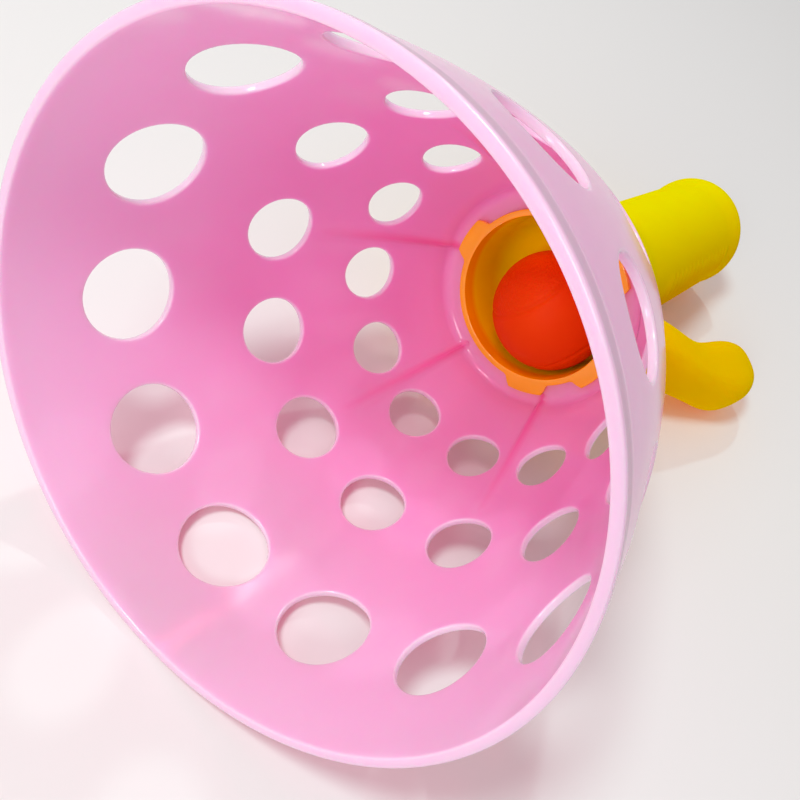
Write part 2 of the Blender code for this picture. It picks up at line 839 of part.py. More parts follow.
def lying_angles(basket, handle, trigger):
    """Pitch and roll at which the rim, the handle's end and the trigger's pad touch one floor."""
    bpy.context.view_layer.update()
    roll = math.radians(68)
    pitch = math.radians(12)
    for _ in range(4):
        pitch = bisect(
            lambda p: reach_of(handle, downwards(p, roll)) - reach_of(basket, downwards(p, roll)),
            0.0, math.radians(40),
        )
        roll = bisect(
            lambda r: reach_of(basket, downwards(pitch, r)) - reach_of(trigger, downwards(pitch, r)),
            math.radians(20), math.radians(120),
        )
    return pitch, roll


def lay_down(parts, pitch, roll):
    """Hangs the parts on one empty, lays it on the floor and centres the toy over the origin."""
    frame = bpy.data.objects.new("toy_frame", None)
    bpy.data.collections[TOY].objects.link(frame)
    for made in parts:
        made.parent = frame
    for cutter in bpy.data.collections[CUTTERS].objects:
        cutter.parent = frame
    tip = Matrix.Rotation(pitch - math.radians(90), 4, "Y")
    frame.matrix_world = tip @ Matrix.Rotation(math.radians(180) + roll, 4, "Z")
    bpy.context.view_layer.update()
    low = [1.0, 1.0, 1.0]
    high = [-1.0, -1.0, -1.0]
    graph = bpy.context.evaluated_depsgraph_get()
    for made in parts:
        evaluated = made.evaluated_get(graph)
        for vertex in evaluated.data.vertices:
            place = made.matrix_world @ vertex.co
            low = [min(a, b) for a, b in zip(low, place)]
            high = [max(a, b) for a, b in zip(high, place)]
    middle = Vector(((low[0] + high[0]) / 2, (low[1] + high[1]) / 2, low[2]))
    frame.matrix_world = Matrix.Translation(-middle) @ frame.matrix_world
    bpy.context.view_layer.update()
    return frame


def main():
    clear_scene()
    pink = plastic("pink_plastic", (0.84, 0.24, 0.49), 0.22)
    orange = plastic("orange_plastic", (0.87, 0.28, 0.0), 0.18)
    ball_red = plastic("ball_rubber", (0.85, 0.04, 0.003), 0.55)
    yellow = plastic("yellow_plastic", (0.84, 0.60, 0.0), 0.30)
    white = plastic("white_plastic", (0.78, 0.78, 0.76), 0.35)
    steel = plastic("steel", (0.60, 0.60, 0.60), 0.30, 1.0)
    basket = make_basket(pink)
    cup = make_cup(orange)
    ball = make_ball(ball_red)
    plunger = make_plunger(white, orange, steel)
    spring = make_spring(steel)
    handle = make_handle(yellow, steel)
    trigger = make_trigger(yellow)
    pitch, roll = lying_angles(basket, handle[1], trigger)
    parts = [basket, cup, spring, trigger, ball] + plunger + handle
    frame = lay_down(parts, pitch, roll)
    pivot = frame.matrix_world @ Vector((pivot_reach, 0.0, pivot_z))
    print("pitch and roll, degrees:", round(math.degrees(pitch), 3), round(math.degrees(roll), 3))
    print("trigger pivot, m:", [round(value, 6) for value in pivot])
    print("axes of the toy, m:", [[round(v, 6) for v in row] for row in frame.matrix_world])


main()
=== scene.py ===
import json
import math

import bmesh
import bpy
from mathutils import Matrix, Vector


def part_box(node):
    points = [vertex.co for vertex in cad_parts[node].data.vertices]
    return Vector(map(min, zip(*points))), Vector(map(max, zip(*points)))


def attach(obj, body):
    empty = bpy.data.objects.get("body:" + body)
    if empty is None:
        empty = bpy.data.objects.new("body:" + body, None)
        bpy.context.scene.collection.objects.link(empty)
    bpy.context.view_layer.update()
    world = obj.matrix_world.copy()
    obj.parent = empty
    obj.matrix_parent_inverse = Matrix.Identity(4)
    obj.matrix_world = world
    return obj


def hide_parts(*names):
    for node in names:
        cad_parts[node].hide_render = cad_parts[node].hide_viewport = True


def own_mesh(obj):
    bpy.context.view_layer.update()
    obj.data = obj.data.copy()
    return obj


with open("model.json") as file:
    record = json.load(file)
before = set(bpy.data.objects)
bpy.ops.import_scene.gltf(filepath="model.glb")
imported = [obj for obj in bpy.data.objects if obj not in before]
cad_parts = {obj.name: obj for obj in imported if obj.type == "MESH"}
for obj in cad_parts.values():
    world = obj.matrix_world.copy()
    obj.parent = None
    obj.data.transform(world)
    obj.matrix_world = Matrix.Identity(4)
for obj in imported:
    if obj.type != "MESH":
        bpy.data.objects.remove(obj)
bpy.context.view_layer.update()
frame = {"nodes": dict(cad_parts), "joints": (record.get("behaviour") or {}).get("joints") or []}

# The toy is put together standing up: the basket's seat on the handle is at height 0, the mouth is up
# and the trigger points along +X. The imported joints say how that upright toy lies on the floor, so every
# piece is laid down by one matrix taken from them.
joints = {joint["name"]: joint for joint in frame["joints"]}
pivot_reach = 0.0150
pivot_depth = 0.0520
toy_axis = Vector(joints["plunger_kick"]["axis"]).normalized()
hinge_axis = Vector(joints["trigger_squeeze"]["axis"]).normalized()
trigger_side = hinge_axis.cross(toy_axis)
seat = Vector(joints["trigger_squeeze"]["pos_m"]) - trigger_side * pivot_reach + toy_axis * pivot_depth
laid_down = Matrix((trigger_side, hinge_axis, toy_axis)).transposed().to_4x4()
laid_down.translation = seat
# Pieces that touch on the real toy keep this gap.
part_gap = 0.0003

# The basket is one bell-shaped moulding of pink polypropylene, 2.2 mm thick, with three rows of twelve
# round holes, a slightly thicker lip at the mouth and six fine ridges that run up from its floor.
# It sits on the neck of the handle and is clamped there by the flange of the launch cup.
mouth_radius = 0.0838
middle_radius = 0.0672
floor_corner_radius = 0.0360
basket_depth = 0.1400
basket_wall = 0.0022
basket_floor = 0.0024
basket_corner = 0.0060
lip_height = 0.0036
lip_width = 0.0007
lip_shoulder = 0.0003
lip_edge = 0.0009
basket_rounding = 0.0005
columns = 240
column_step = 360.0 / columns
window_half = 12.0
window_rows = 8
holes_per_row = 12
hole_rim = 0.0010
merge_distance = 0.000005
cup_outer_radius = 0.0283
hole_rows = (
    # height, radius of the hole, angle of the first hole, half height of the window round it
    (0.1053, 0.0131, 15.0, 0.0144),
    (0.0620, 0.0102, 0.0, 0.0111),
    (0.0296, 0.0087, 15.0, 0.0093),
)


def bell_radius(height):
    """Outer radius of the bell below its lip."""
    t = height / basket_depth
    at_floor = floor_corner_radius * (1 - t) * (1 - 2 * t)
    at_middle = middle_radius * 4 * t * (1 - t)
    at_mouth = mouth_radius * t * (2 * t - 1)
    return at_floor + at_middle + at_mouth - lip_width


levels = [basket_depth, basket_depth - lip_edge]
levels += [basket_depth - lip_height + lip_shoulder, basket_depth - lip_height - lip_shoulder]
for height, radius, first, half in hole_rows:
    levels += [height + half - 2 * half * i / window_rows for i in range(window_rows + 1)]
# These levels lie between the rows of holes.
levels += [0.1310, 0.1270, 0.1232, 0.0850, 0.0790, 0.0470, 0.0430, 0.0165, 0.0125, 0.0090]
levels = sorted(levels, reverse=True)
bm = bmesh.new()
pale = bm.verts.layers.float.new("pale")
chain = [bm.verts.new((bell_radius(height), 0.0, height)) for height in levels]
corner_steps = 6
for i in range(corner_steps + 1):
    turn = math.radians(90) * i / corner_steps
    radius = bell_radius(basket_corner) - basket_corner * (1 - math.cos(turn))
    chain.append(bm.verts.new((radius, 0.0, basket_corner * (1 - math.sin(turn)))))
chain.append(bm.verts.new((cup_outer_radius + part_gap, 0.0, 0.0)))
spine = [bm.edges.new(pair) for pair in zip(chain, chain[1:])]
bmesh.ops.spin(
    bm, geom=chain + spine, cent=(0, 0, 0), axis=(0, 0, 1), angle=math.radians(360), steps=columns,
    use_merge=True,
)
bmesh.ops.remove_doubles(bm, verts=bm.verts, dist=merge_distance)


def around(angle, radius, height):
    """A point at an angle in degrees round the toy's axis."""
    turn = math.radians(angle)
    return Vector((radius * math.cos(turn), radius * math.sin(turn), height))


def off_angle(angle, middle):
    """How far an angle is from another, in degrees, from -180 to 180."""
    return (angle - middle + 180.0) % 360.0 - 180.0


# Each hole is a ring of points joined to the edge of a window that is cut out of the grid round it.
slope_step = 0.0005
for height, radius, first, half in hole_rows:
    widening = bell_radius(height + slope_step) - bell_radius(height - slope_step)
    slope = math.atan(widening / (2 * slope_step))
    for k in range(holes_per_row):
        middle = first + 360.0 / holes_per_row * k
        window = []
        for face in bm.faces:
            centre = face.calc_center_median()
            if abs(centre.z - height) > half:
                continue
            if abs(off_angle(math.degrees(math.atan2(centre.y, centre.x)), middle)) < window_half:
                window.append(face)
        window_set = set(window)
        loop = [
            edge for face in window for edge in face.edges
            if sum(1 for near in edge.link_faces if near in window_set) == 1
        ]
        bmesh.ops.delete(bm, geom=window, context="FACES_ONLY")
        inside = [edge for edge in bm.edges if not edge.link_faces]
        bmesh.ops.delete(bm, geom=inside, context="EDGES")
        bmesh.ops.delete(bm, geom=[vert for vert in bm.verts if not vert.link_edges], context="VERTS")
        for ring_radius in (radius + hole_rim, radius):
            ring = bmesh.ops.create_circle(bm, segments=len(loop), radius=ring_radius)["verts"]
            for vert in ring:
                sideways, up = vert.co.x, vert.co.y
                z = height + up * math.cos(slope)
                turn = math.degrees(math.asin(sideways / bell_radius(z)))
                vert.co = around(middle + turn, bell_radius(z), z)
                vert[pale] = 1.0 if ring_radius == radius else 0.0
            circle = list({edge for vert in ring for edge in vert.link_edges})
            bmesh.ops.bridge_loops(bm, edges=loop + circle)
            loop = circle
bmesh.ops.recalc_face_normals(bm, faces=bm.faces)
bm.faces.ensure_lookup_table()
# The sheet is open, so its faces may have come out pointing inwards.
probe = bm.faces[0]
if probe.normal.dot(Vector((*probe.calc_center_median().xy, 0.0))) < 0:
    bmesh.ops.reverse_faces(bm, faces=bm.faces)


def object_from(bm, name, placed=True):
    """Turns a bmesh into an object, laid down with the toy if it is placed."""
    if placed:
        bmesh.ops.transform(bm, matrix=laid_down, verts=bm.verts)
    mesh = bpy.data.meshes.new(name)
    bm.to_mesh(mesh)
    bm.free()
    made = bpy.data.objects.new(name, mesh)
    bpy.context.scene.collection.objects.link(made)
    return made


def bmesh_of(made):
    """The mesh of an object after its modifiers, with its seams closed. The object is removed."""
    bpy.context.view_layer.update()
    evaluated = made.evaluated_get(bpy.context.evaluated_depsgraph_get())
    bm = bmesh.new()
    bm.from_mesh(bpy.data.meshes.new_from_object(evaluated))
    bmesh.ops.remove_doubles(bm, verts=bm.verts, dist=merge_distance)
    bpy.data.objects.remove(made, do_unlink=True)
    return bm


sheet = object_from(bm, "basket_sheet", placed=False)
wall = sheet.modifiers.new("wall", "SOLIDIFY")
wall.thickness = basket_wall
wall.offset = -1.0
wall.use_even_offset = True
bm = bmesh_of(sheet)
# The lip stands out from the bell on its outer side, and the six ridges stand up on its inner side.
ridge_count = 6
first_ridge = 30.0
ridge_top = 0.0480
ridge_height = 0.0014
ridge_half = column_step * 2
foot_share = 0.25
ridge_foot = basket_floor * 0.9
ridge_angles = [first_ridge + 360.0 / ridge_count * k for k in range(ridge_count)]
slack = 0.0001
pale = bm.verts.layers.float["pale"]
for vert in bm.verts:
    radius = vert.co.xy.length
    outside = radius > bell_radius(vert.co.z) - basket_wall / 2 and vert.co.z > slack
    angle = math.degrees(math.atan2(vert.co.y, vert.co.x))
    if vert.co.z > basket_depth - lip_height and outside:
        vert.co.xy *= (radius + lip_width) / radius
    if not outside and ridge_foot < vert.co.z < ridge_top:
        away = min(abs(off_angle(angle, middle)) for middle in ridge_angles)
        if away < ridge_half and radius > bell_radius(basket_corner) - basket_corner:
            share = min(1.0, foot_share + 1 - vert.co.z / ridge_top) * (1 - away / ridge_half)
            vert.co.xy *= (radius - ridge_height * share) / radius
            vert[pale] = -share


def round_edges(bm, width, segments=2, least=55.0):
    """Rounds the edges of a moulding that are sharper than the least angle in degrees."""
    sharp = [
        edge for edge in bm.edges
        if len(edge.link_faces) == 2 and math.degrees(edge.calc_face_angle(0.0)) > least
    ]
    bmesh.ops.bevel(
        bm, geom=sharp, offset=width, offset_type="OFFSET", segments=segments, profile=0.5,
        affect="EDGES", clamp_overlap=True, material=-1,
    )


def smooth(made, angle=40.0):
    """Smooths an object's shading, but for edges sharper than an angle in degrees."""
    made.data.shade_smooth()
    made.data.set_sharp_from_angle(angle=math.radians(angle))
    return made


round_edges(bm, basket_rounding, segments=3)
basket = smooth(object_from(bm, "basket_bell"), angle=60)


def linear(code):
    """An sRGB hex colour as the linear colour that a shader takes."""
    shares = [int(code[i:i + 2], 16) / 255 for i in (1, 3, 5)]
    return tuple(s / 12.92 if s <= 0.04045 else ((s + 0.055) / 1.055) ** 2.4 for s in shares) + (1.0,)


def add_node(tree, kind, settings=None, **inputs):
    """Adds a node with its settings; each input is a number, a colour or a socket to link from."""
    node = tree.nodes.new(kind)
    for name, value in (settings or {}).items():
        setattr(node, name, value)
    for name, value in inputs.items():
        by_number = name[0] == "n" and name[1:].isdigit()
        socket = node.inputs[int(name[1:]) if by_number else name.replace("_", " ")]
        if isinstance(value, bpy.types.NodeSocket):
            tree.links.new(value, socket)
        else:
            socket.default_value = value
    return node


def new_material(name):
    """A material with its shader, and the place on the piece in metres."""
    material = bpy.data.materials.new(name)
    material.use_nodes = True
    tree = material.node_tree
    place = add_node(tree, "ShaderNodeTexCoord").outputs["Object"]
    return material, tree, tree.nodes["Principled BSDF"], place


def part_way(tree, place, axis, start, end):
    """How far a place is along an axis from the basket's seat: 0 at one distance and 1 at another."""
    reach = add_node(
        tree, "ShaderNodeVectorMath", {"operation": "DOT_PRODUCT"}, n0=place, n1=tuple(axis)
    )
    foot = seat.dot(axis)
    return add_node(
        tree, "ShaderNodeMapRange", Value=reach.outputs["Value"], From_Min=foot + start,
        From_Max=foot + end,
    ).outputs["Result"]


def tint_shadow(tree, shader, code):
    """Lets light through the plastic, tinted at each surface, so that its shadow is coloured."""
    path = add_node(tree, "ShaderNodeLightPath")
    clear = add_node(tree, "ShaderNodeBsdfTransparent", Color=linear(code))
    both = add_node(
        tree, "ShaderNodeMixShader", n0=path.outputs["Is Shadow Ray"], n1=shader.outputs["BSDF"],
        n2=clear.outputs["BSDF"],
    )
    tree.links.new(both.outputs["Shader"], tree.nodes["Material Output"].inputs["Surface"])


# Polypropylene is milky and lets much light through. Its pink is painted paler towards the mouth, as
# painted light, and deeper towards the floor, as painted shade, and it also varies at random in clouds
# about 45 mm across.
material, tree, shader, place = new_material("moulded_polypropylene_pink")
cloud = add_node(tree, "ShaderNodeTexNoise", Vector=place, Scale=22.0, Detail=3.0)
cloud_share = 0.30
rise = part_way(tree, place, toy_axis, 0.060, 0.150)
cloud_and_painted_light = add_node(
    tree, "ShaderNodeMath", {"operation": "MULTIPLY_ADD"}, n0=cloud.outputs["Fac"], n1=cloud_share,
    n2=rise,
)
paleness = add_node(
    tree, "ShaderNodeMath", {"operation": "SUBTRACT"}, n0=cloud_and_painted_light.outputs[0], n1=cloud_share / 2
)
tone = add_node(
    tree, "ShaderNodeMix", {"data_type": "RGBA"}, n0=paleness.outputs[0], n6=linear("#f19cc9"),
    n7=linear("#f6c6df")
)
# The edge and wall of each hole are drawn paler, and each ridge is painted a deeper pink, as painted shade
# along it.
edge = add_node(tree, "ShaderNodeAttribute", {"attribute_name": "pale"}).outputs["Fac"]
hole_edge_paleness = add_node(tree, "ShaderNodeMapRange", Value=edge, From_Min=0.2, From_Max=1.0, To_Max=0.45)
tone = add_node(
    tree, "ShaderNodeMix", {"data_type": "RGBA"}, n0=hole_edge_paleness.outputs["Result"], n6=tone.outputs[2],
    n7=linear("#fde4f1")
)
ridge_painted_shade = add_node(tree, "ShaderNodeMapRange", Value=edge, From_Min=-0.1, From_Max=-0.8, To_Max=0.8)
tone = add_node(
    tree, "ShaderNodeMix", {"data_type": "RGBA"}, n0=ridge_painted_shade.outputs["Result"], n6=tone.outputs[2],
    n7=linear("#ea62a6")
)
# The mould leaves soft ripples about 7 mm long in the gloss.
ripple = add_node(tree, "ShaderNodeTexNoise", Vector=place, Scale=140.0, Detail=2.0)
bump = add_node(tree, "ShaderNodeBump", Height=ripple.outputs["Fac"], Strength=0.05, Distance=0.0004)
tree.links.new(tone.outputs[2], shader.inputs["Base Color"])
tree.links.new(bump.outputs["Normal"], shader.inputs["Normal"])
shader.inputs["Roughness"].default_value = 0.15
shader.inputs["IOR"].default_value = 1.49
shader.inputs["Specular IOR Level"].default_value = 0.42
shader.inputs["Subsurface Weight"].default_value = 0.8
shader.inputs["Subsurface Radius"].default_value = (1.0, 0.5, 0.75)
shader.inputs["Subsurface Scale"].default_value = 0.008
tint_shadow(tree, shader, "#c4708c")
basket.data.materials.append(material)
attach(basket, "toy")
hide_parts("basket")

# The launch cup is moulded of clear orange polystyrene. Its flange, with four lugs, lies on the basket's
# floor, and the tube below it guides the plunger.
cup_radius = 0.0268
cup_wall = 0.0015
cup_depth = 0.0270
cup_corner = 0.0132
cup_draft = 0.0006
flange_radius = 0.0289
flange_thickness = 0.0020
flange_bevel = 0.0008
flange_relief = 0.0003
lug_radius = 0.0324
lug_angles = (-161.0, -41.0, 9.0, 79.0)
lug_spread = 27.0
lug_ramp = 4.0
cup_rounding = 0.0004
head_radius = 0.0115
head_thickness = 0.0020
rod_radius = 0.0030
guide_radius = 0.0058
guide_length = 0.0085
cup_floor = -cup_depth
head_seat = cup_floor - head_thickness
cup_underside = head_seat - cup_wall
guide_end = cup_underside - guide_length
flange_under = basket_floor + part_gap
flange_top = flange_under + flange_thickness
recess = head_radius + part_gap
corner_steps = 10
outline = [(rod_radius + part_gap, guide_end), (rod_radius + part_gap, head_seat)]
outline += [(recess, head_seat), (recess, cup_floor)]
for i in range(corner_steps + 1):
    turn = math.radians(90) * i / corner_steps
    radius = cup_radius - cup_draft - cup_corner * (1 - math.sin(turn))
    outline.append((radius, cup_floor + cup_corner * (1 - math.cos(turn))))
outline += [(cup_radius, flange_top), (flange_radius - flange_bevel, flange_top)]
outline += [(flange_radius, flange_top), (flange_radius, flange_under)]
outline += [(flange_radius - flange_relief, flange_under), (cup_outer_radius, flange_under)]
for i in range(corner_steps + 1):
    turn = math.radians(90) * (1 - i / corner_steps)
    corner = cup_corner + cup_wall
    radius = cup_radius - cup_draft + cup_wall - corner * (1 - math.sin(turn))
    height = cup_floor - cup_wall + corner * (1 - math.cos(turn))
    outline.append((max(radius, recess + cup_wall), height))
outline += [(recess + cup_wall, cup_underside), (guide_radius, cup_underside), (guide_radius, guide_end)]
bm = bmesh.new()
chain = [bm.verts.new((radius, 0.0, height)) for radius, height in outline]
spine = [bm.edges.new((chain[i - 1], chain[i])) for i in range(len(chain))]
cup_columns = 180
bmesh.ops.spin(
    bm, geom=chain + spine, cent=(0, 0, 0), axis=(0, 0, 1), angle=math.radians(360), steps=cup_columns,
    use_merge=True,
)
bmesh.ops.remove_doubles(bm, verts=bm.verts, dist=merge_distance)
bmesh.ops.recalc_face_normals(bm, faces=bm.faces)
# The points of the flange's rim move out at each lug.
for vert in bm.verts:
    if vert.co.z < flange_under - slack or vert.co.xy.length < flange_radius - slack:
        continue
    angle = math.degrees(math.atan2(vert.co.y, vert.co.x))
    away = min(abs(off_angle(angle, middle)) for middle in lug_angles)
    share = min(max((lug_spread / 2 + lug_ramp / 2 - away) / lug_ramp, 0.0), 1.0)
    radius = flange_radius + (lug_radius - flange_radius) * share
    vert.co.xy *= radius / vert.co.xy.length
round_edges(bm, cup_rounding, segments=3, least=60.0)
cup = smooth(object_from(bm, "launch_cup_clear"), angle=50)
# Clear orange polystyrene: the cup's inside is painted a brighter yellow than its orange flange, as
# painted light for the glow of light through the plastic.
material, tree, shader, place = new_material("clear_orange_styrene")
rise = part_way(tree, place, toy_axis, -0.0020, 0.0006)
tone = add_node(
    tree, "ShaderNodeMix", {"data_type": "RGBA"}, n0=rise, n6=linear("#ffe000"), n7=linear("#fcac00")
)
tree.links.new(tone.outputs[2], shader.inputs["Base Color"])
shader.inputs["Roughness"].default_value = 0.14
shader.inputs["IOR"].default_value = 1.58
shader.inputs["Subsurface Weight"].default_value = 0.3
shader.inputs["Subsurface Radius"].default_value = (1.0, 0.5, 0.1)
shader.inputs["Subsurface Scale"].default_value = 0.001
tint_shadow(tree, shader, "#fdea80")
cup.data.materials.append(material)
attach(cup, "toy")
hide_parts("launch_cup")
orange_styrene = material

# The ball is a 40 mm hollow ball of soft orange-red vinyl. A narrow sunk seam runs round each of its two
# ends, which have a fine pebbled skin, and the band between the seams is smooth. It lies in the cup.
ball_radius = 0.0200
seam_width = 0.0007
seam_depth = 0.00055
seam_share = 0.55
seam_pole = Vector((-0.28, 0.82, 0.50)).normalized()
low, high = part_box("ball")
ball_centre = (low + high) / 2
bm = bmesh.new()
bmesh.ops.create_icosphere(bm, subdivisions=7, radius=ball_radius)
for vert in bm.verts:
    outwards = vert.co.normalized()
    away = (abs(outwards.dot(seam_pole)) - seam_share) * ball_radius
    vert.co -= outwards * seam_depth * math.exp(-(away / seam_width) ** 2)
bmesh.ops.translate(bm, vec=ball_centre, verts=bm.verts)
ball = smooth(object_from(bm, "vinyl_ball", placed=False), angle=80)
material, tree, shader, place = new_material("pebbled_soft_vinyl_red")
# Pebbles about 0.9 mm across, a little coarser than the real grain so that they show. They are on the
# two ends only.
pebbles = add_node(tree, "ShaderNodeTexVoronoi", {"feature": "F1"}, Vector=place, Scale=1100.0)
along_pole = add_node(
    tree, "ShaderNodeVectorMath", {"operation": "DOT_PRODUCT"}, n0=place, n1=tuple(seam_pole)
)
from_centre = add_node(
    tree, "ShaderNodeMath", {"operation": "SUBTRACT"}, n0=along_pole.outputs["Value"],
    n1=ball_centre.dot(seam_pole)
)
to_end = add_node(tree, "ShaderNodeMath", {"operation": "ABSOLUTE"}, n0=from_centre.outputs[0])
pebbled = add_node(
    tree, "ShaderNodeMapRange", Value=to_end.outputs[0], From_Min=seam_share * ball_radius,
    From_Max=seam_share * ball_radius + seam_width, To_Max=0.60,
)
bump = add_node(
    tree, "ShaderNodeBump", {"invert": True}, Height=pebbles.outputs["Distance"],
    Strength=pebbled.outputs["Result"], Distance=0.0003,
)
tree.links.new(bump.outputs["Normal"], shader.inputs["Normal"])
shader.inputs["Base Color"].default_value = linear("#e03e00")
shader.inputs["Roughness"].default_value = 0.5
shader.inputs["IOR"].default_value = 1.53
shader.inputs["Specular IOR Level"].default_value = 0.06
shader.inputs["Subsurface Weight"].default_value = 0.3
shader.inputs["Subsurface Radius"].default_value = (1.0, 0.25, 0.1)
shader.inputs["Subsurface Scale"].default_value = 0.002
ball.data.materials.append(material)
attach(ball, "ball")
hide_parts("ball")

# The handle is two moulded halves of yellow plastic that meet in the plane through the trigger, held by
# six screws. It has fifteen fine ribs on the side towards the trigger, and its end is a domed swelling.
handle_wall = 0.0022
handle_length = 0.1660
grip_radius = 0.0222
bulb_radius = 0.0236
bulb_start = 0.1390
bulb_height = 0.1530
shoulder_height = 0.0140
neck_height = 0.0540
collar_radius = 0.0340
collar_height = 0.0040
collar_step = 0.0005
rib_count = 15
rib_pitch = 0.0050
rib_height = 0.0005
rib_start = 0.0690
rib_half = rib_pitch * 0.22
rib_crown = 0.45
rib_core = 0.6
rib_spread = 50.0
rib_fade = 5.0
slot_half = 0.0084
slot_top = 0.0300
slot_bottom = 0.0660
slot_setback = 0.0030
slot_reach = 0.0500
parting_half = 0.00015
shell_inset = 0.0002
neck_steps = 16
bulb_steps = 7
bulb_first = 0.0035
dome_steps = 12
half_columns = 64
skin_slack = 0.0003


def eased(t):
    """A share from 0 to 1, with a soft start and end."""
    t = min(max(t, 0.0), 1.0)
    return 0.5 - 0.5 * math.cos(math.pi * t)


def handle_radius(depth):
    """Outer radius of the handle at a depth below the basket's seat."""
    shoulder = cup_outer_radius + part_gap + handle_wall
    neck = eased((depth - shoulder_height) / (neck_height - shoulder_height))
    radius = shoulder + (grip_radius - shoulder) * neck
    swell = eased((depth - bulb_start) / (bulb_height - bulb_start))
    return radius + (bulb_radius - grip_radius) * swell


# These depths lie on the shoulder and between the neck and the first rib.
depths = [collar_height + collar_step, 0.0090, shoulder_height, 0.0600]
neck_length = neck_height - shoulder_height
depths += [shoulder_height + neck_length * i / neck_steps for i in range(1, neck_steps + 1)]
for i in range(rib_count):
    middle = rib_start + i * rib_pitch
    depths += [middle - rib_half, middle - rib_half * rib_crown]
    depths += [middle + rib_half * rib_crown, middle + rib_half]
swell = bulb_height - bulb_start - bulb_first
depths += [bulb_start + bulb_first + swell * i / bulb_steps for i in range(1, bulb_steps + 1)]
depths.sort()


def handle_outline(inset):
    """The handle's outline from its collar to the middle of its domed end, as (radius, height)."""
    points = [(handle_radius(depth) - inset, -depth) for depth in depths]
    for i in range(1, dome_steps + 1):
        turn = math.radians(90) * i / dome_steps
        rise = handle_length - bulb_height - inset
        points.append(((bulb_radius - inset) * math.cos(turn), -bulb_height - rise * math.sin(turn)))
    points[-1] = (0.0, points[-1][1])
    return points


def handle_half(name, side):
    """One half of the handle's shell, spun from one parting line to the other."""
    bm = bmesh.new()
    outer = [(collar_radius, -part_gap), (collar_radius, -collar_height)] + handle_outline(shell_inset)
    inner = handle_outline(handle_wall)[::-1] + [(cup_outer_radius + part_gap, -part_gap)]
    chain = [bm.verts.new((radius, 0.0, height)) for radius, height in outer + inner]
    spine = [bm.edges.new(pair) for pair in zip(chain, chain[1:] + chain[:1])]
    bmesh.ops.spin(
        bm, geom=chain + spine, cent=(0, 0, 0), axis=(0, 0, 1), angle=side * math.radians(180),
        steps=half_columns, use_merge=False,
    )
    bmesh.ops.remove_doubles(bm, verts=bm.verts, dist=merge_distance)
    open_edges = [edge for edge in bm.edges if len(edge.link_faces) == 1]
    bmesh.ops.holes_fill(bm, edges=open_edges, sides=0)
    bmesh.ops.recalc_face_normals(bm, faces=bm.faces)
    for vert in bm.verts:
        depth = -vert.co.z
        radius = vert.co.xy.length
        if not rib_start - rib_pitch < depth < rib_start + rib_count * rib_pitch:
            continue
        if abs(radius - handle_radius(depth)) > skin_slack:
            continue
        beside = abs(off_angle(math.degrees(math.atan2(vert.co.y, vert.co.x)), 0.0))
        nearest = round((depth - rib_start) / rib_pitch)
        away = abs(depth - rib_start - nearest * rib_pitch)
        if 0 <= nearest < rib_count and away < rib_half * rib_core:
            fade = min(max((rib_spread - beside) / rib_fade, 0.0), 1.0)
            vert.co.xy *= (radius + rib_height * fade) / radius
    bmesh.ops.translate(bm, vec=(0.0, side * parting_half, 0.0), verts=bm.verts)
    return object_from(bm, name, placed=False)


screw_places = (
    # place towards the trigger, and depth below the basket's seat as a share of the handle's length
    (-0.0140, 0.263),
    (-0.0130, 0.447),
    (0.0125, 0.520),
    (-0.0120, 0.638),
    (0.0125, 0.711),
    (0.0000, 0.842),
)
screw_head_radius = 0.0029
screw_head_depth = 0.0080
recess_length = 0.0300
recess_sides = 40
# Thick polystyrene is opaque but for a soft glow under its skin. Its colour drifts over about 33 mm.
material, tree, shader, place = new_material("moulded_styrene_yellow")
cloud = add_node(tree, "ShaderNodeTexNoise", Vector=place, Scale=30.0, Detail=3.0)
tone = add_node(
    tree, "ShaderNodeMix", {"data_type": "RGBA"}, n0=cloud.outputs["Fac"], n6=linear("#ffdc00"),
    n7=linear("#ffe400")
)
# Towards the trigger the plastic is painted more golden, as painted shade on the toy's lower side.
painted_shade_golden = part_way(tree, place, trigger_side, -0.012, 0.020)
tone = add_node(
    tree, "ShaderNodeMix", {"data_type": "RGBA"}, n0=painted_shade_golden, n6=tone.outputs[2], n7=linear("#f8c000")
)
# A spark-eroded mould leaves a grain of about 0.3 mm, drawn at 0.5 mm so that it shows.
grain = add_node(tree, "ShaderNodeTexNoise", Vector=place, Scale=2000.0, Detail=2.0)
bump = add_node(tree, "ShaderNodeBump", Height=grain.outputs["Fac"], Strength=0.12, Distance=0.0001)
tree.links.new(tone.outputs[2], shader.inputs["Base Color"])
tree.links.new(bump.outputs["Normal"], shader.inputs["Normal"])
shader.inputs["Roughness"].default_value = 0.36
shader.inputs["IOR"].default_value = 1.54
shader.inputs["Specular IOR Level"].default_value = 0.0
shader.inputs["Subsurface Weight"].default_value = 0.7
shader.inputs["Subsurface Radius"].default_value = (1.0, 0.6, 0.05)
shader.inputs["Subsurface Scale"].default_value = 0.006
tint_shadow(tree, shader, "#da9424")
yellow_styrene = material


def round_bar(name, radius, length, place, segments=48):
    """A round bar across the toy, along the trigger's pin."""
    bm = bmesh.new()
    bmesh.ops.create_cone(
        bm, cap_ends=True, segments=segments, radius1=radius, radius2=radius, depth=length
    )
    turned = Matrix.Translation(place) @ Matrix.Rotation(math.radians(90), 4, "X")
    bmesh.ops.transform(bm, matrix=turned, verts=bm.verts)
    return object_from(bm, name, placed=False)


def block(name, low, high):
    """A block between two opposite corners."""
    bm = bmesh.new()
    bmesh.ops.create_cube(bm, size=1.0)
    middle = (Vector(low) + Vector(high)) / 2
    size = Vector(high) - Vector(low)
    to_place = Matrix.Translation(middle) @ Matrix.Diagonal((*size, 1.0))
    bmesh.ops.transform(bm, matrix=to_place, verts=bm.verts)
    return object_from(bm, name, placed=False)


def cut_or_join(made, tools, operation):
    """Cuts tools from an object or joins them to it, and removes the tools."""
    for tool in tools:
        step = made.modifiers.new(tool.name, "BOOLEAN")
        step.operation = operation
        step.solver = "EXACT"
        step.object = tool
    bm = bmesh_of(made)
    for tool in tools:
        bpy.data.objects.remove(tool, do_unlink=True)
    return bm


